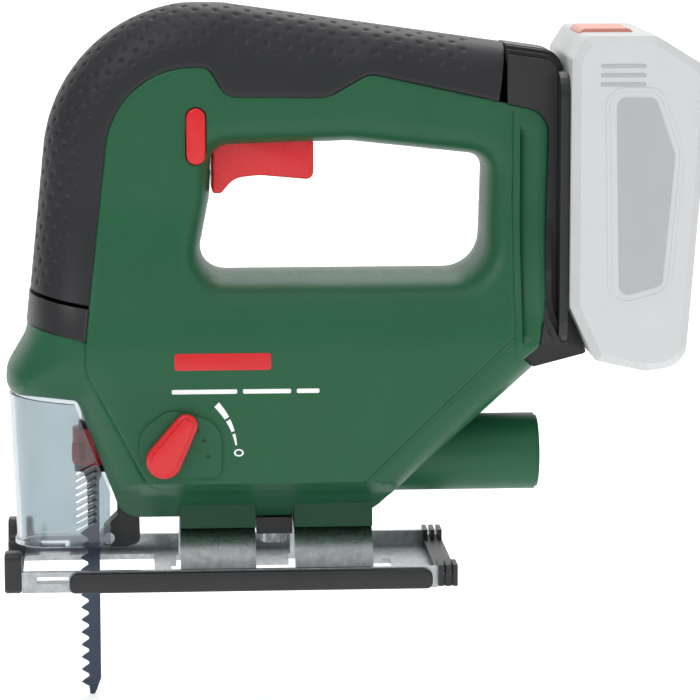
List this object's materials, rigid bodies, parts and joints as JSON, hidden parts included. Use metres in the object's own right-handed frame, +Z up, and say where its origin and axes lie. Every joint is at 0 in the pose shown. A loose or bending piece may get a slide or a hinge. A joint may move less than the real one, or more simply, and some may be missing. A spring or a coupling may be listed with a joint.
{
  "type": "jigsaw power tool",
  "caption": "Cordless top-handle jigsaw with a trigger, orbit lever, clear guard, tilting steel foot, dust port, working crank drive and a slide-on battery pack.",
  "frame": {"origin": "on the plane of the sole, on the line of the blade and in the tool's middle plane", "axes": "+X towards the battery at the rear, +Z up along the blade, -Y the side with the orbit lever"},
  "size_m": [0.2484, 0.0735, 0.2506],
  "materials": {
    "housing_green": "satin moulded",
    "soft_grip": "soft moulded",
    "black_plastic": "satin moulded",
    "signal_red": "gloss moulded",
    "bright_steel": "brushed",
    "dark_steel": "phosphated",
    "blade_steel": "ground",
    "cast_alloy": "die cast",
    "bronze": "sintered",
    "clear_guard": "clear moulded",
    "circuit_board": "solder mask",
    "pack_grey": "satin moulded",
    "pack_label": "printed film",
    "pack_button": "moulded",
    "cell_metal": "drawn can"
  },
  "bodies": {
    "tool": {"housing_left": "housing_green", "housing_right": "housing_green", "dust_tube": "housing_green", "orbit_pad": "housing_green", "grip_left": "soft_grip", "grip_right": "soft_grip", "front_cuff": "soft_grip", "rear_frame": "black_plastic", "battery_contacts": "black_plastic", "switch_module": "black_plastic", "clamp_saddle": "black_plastic", "motor_leads": "signal_red", "housing_screws": "bright_steel", "fork_axle": "bright_steel", "clamp_screw": "bright_steel", "trigger_spring": "bright_steel", "motor_bearings": "bright_steel", "motor_can": "dark_steel", "gear_case": "cast_alloy", "foot_cradle": "cast_alloy", "plunger_bushes": "bronze", "blade_guard": "clear_guard", "control_board": "circuit_board"},
    "plunger": {"plunger_rod": "bright_steel", "plunger_yoke": "dark_steel", "blade_clamp": "dark_steel", "saw_blade": "blade_steel"},
    "collar": {"clamp_collar": "signal_red"},
    "crank": {"crank_gear": "bright_steel", "crank_pin": "bright_steel", "crank_counterweight": "dark_steel", "gear_shaft": "bright_steel"},
    "rotor": {"motor_shaft": "bright_steel", "rotor_core": "dark_steel", "commutator": "bronze", "motor_fan": "black_plastic", "motor_pinion": "bright_steel"},
    "fork": {"pendulum_fork": "black_plastic", "roller_pin": "bright_steel"},
    "roller": {"blade_roller": "bright_steel"},
    "orbit": {"orbit_lever": "signal_red", "orbit_shaft": "bright_steel"},
    "trigger": {"trigger": "signal_red"},
    "lock": {"lock_button": "signal_red"},
    "foot": {"foot_plate": "bright_steel", "foot_rails": "black_plastic", "front_bumper": "black_plastic", "rear_clip": "black_plastic"},
    "battery": {"battery_case": "pack_grey", "battery_cover": "pack_grey", "battery_rails": "bright_steel", "battery_cells": "cell_metal", "battery_label": "pack_label", "battery_button_spring": "bright_steel"},
    "battery_button": {"battery_button": "pack_button"}
  },
  "joints": [
    {"name": "plunger_slide", "type": "slide", "parent": "tool", "child": "plunger", "axis": [0, 0, 1], "range_m": [-0.009, 0.009]},
    {"name": "collar_turn", "type": "hinge", "parent": "plunger", "child": "collar", "pos_m": [0, 0, 0.047], "axis": [0, 0, 1], "range_deg": [0, 60], "stiffness_Nm_per_rad": 0.02, "springref_deg": -17.19},
    {"name": "crank_spin", "type": "hinge", "parent": "tool", "child": "crank", "pos_m": [0.015, 0, 0.095], "axis": [1, 0, 0], "continuous": true},
    {"name": "motor_spin", "type": "hinge", "parent": "tool", "child": "rotor", "pos_m": [0.05, 0, 0.07], "axis": [1, 0, 0], "continuous": true},
    {"name": "fork_swing", "type": "hinge", "parent": "tool", "child": "fork", "pos_m": [0.0125, 0, 0.0275], "axis": [0, 1, 0], "range_deg": [-4, 0]},
    {"name": "roller_spin", "type": "hinge", "parent": "fork", "child": "roller", "pos_m": [0.0055, 0, 0.0138], "axis": [0, 1, 0], "continuous": true},
    {"name": "orbit_turn", "type": "hinge", "parent": "tool", "child": "orbit", "pos_m": [0.0251, -0.034, 0.0471], "axis": [0, 1, 0], "range_deg": [0, 54]},
    {"name": "trigger_pull", "type": "slide", "parent": "tool", "child": "trigger", "axis": [0, 0, 1], "range_m": [0, 0.006], "stiffness_N_per_m": 400, "springref_m": -0.003, "deforming": ["trigger_spring"]},
    {"name": "lock_press", "type": "slide", "parent": "tool", "child": "lock", "axis": [0, 1, 0], "range_m": [0, 0.003], "stiffness_N_per_m": 400, "springref_m": -0.002},
    {"name": "bevel_tilt", "type": "hinge", "parent": "tool", "child": "foot", "pos_m": [0.05, 0, 0], "axis": [1, 0, 0], "range_deg": [-45, 45]},
    {"name": "battery_slide", "type": "slide", "parent": "tool", "child": "battery", "axis": [0, 0, 1], "range_m": [0, 0.09]},
    {"name": "battery_release", "type": "slide", "parent": "battery", "child": "battery_button", "axis": [0, 0, -1], "range_m": [0, 0.0025], "stiffness_N_per_m": 500, "springref_m": -0.002, "deforming": ["battery_button_spring"]}
  ],
  "couplings": [
    {"joint": "motor_spin", "follows": "crank_spin", "ratio": -4}
  ]
}
